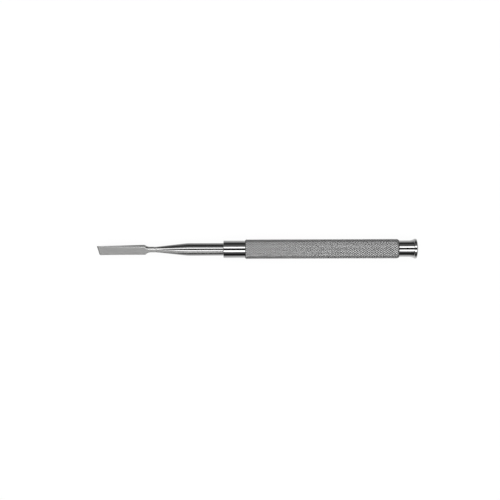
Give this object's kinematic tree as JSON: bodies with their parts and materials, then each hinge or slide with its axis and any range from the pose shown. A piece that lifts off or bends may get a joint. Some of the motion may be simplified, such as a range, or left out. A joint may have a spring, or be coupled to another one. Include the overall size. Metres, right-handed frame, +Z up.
{
  "type": "bone chisel",
  "caption": "Slim straight surgical bone chisel: oblique flat blade, narrow neck, tapered shank, round knurled handle with a flared striking end.",
  "frame": {"origin": "on the surface that the tool lies on, below the middle of its length", "axes": "+X along the tool axis from the cutting edge to the striking face, +Z up, with the blade's face turned 30 degrees from up towards -Y"},
  "size_m": [0.17, 0.0104, 0.0105],
  "materials": {
    "satin_steel": "satin ground",
    "polished_steel": "mirror polished, with a satin knurl"
  },
  "bodies": {
    "root": {"working_end": "satin_steel", "handle": "polished_steel"}
  },
  "joints": []
}
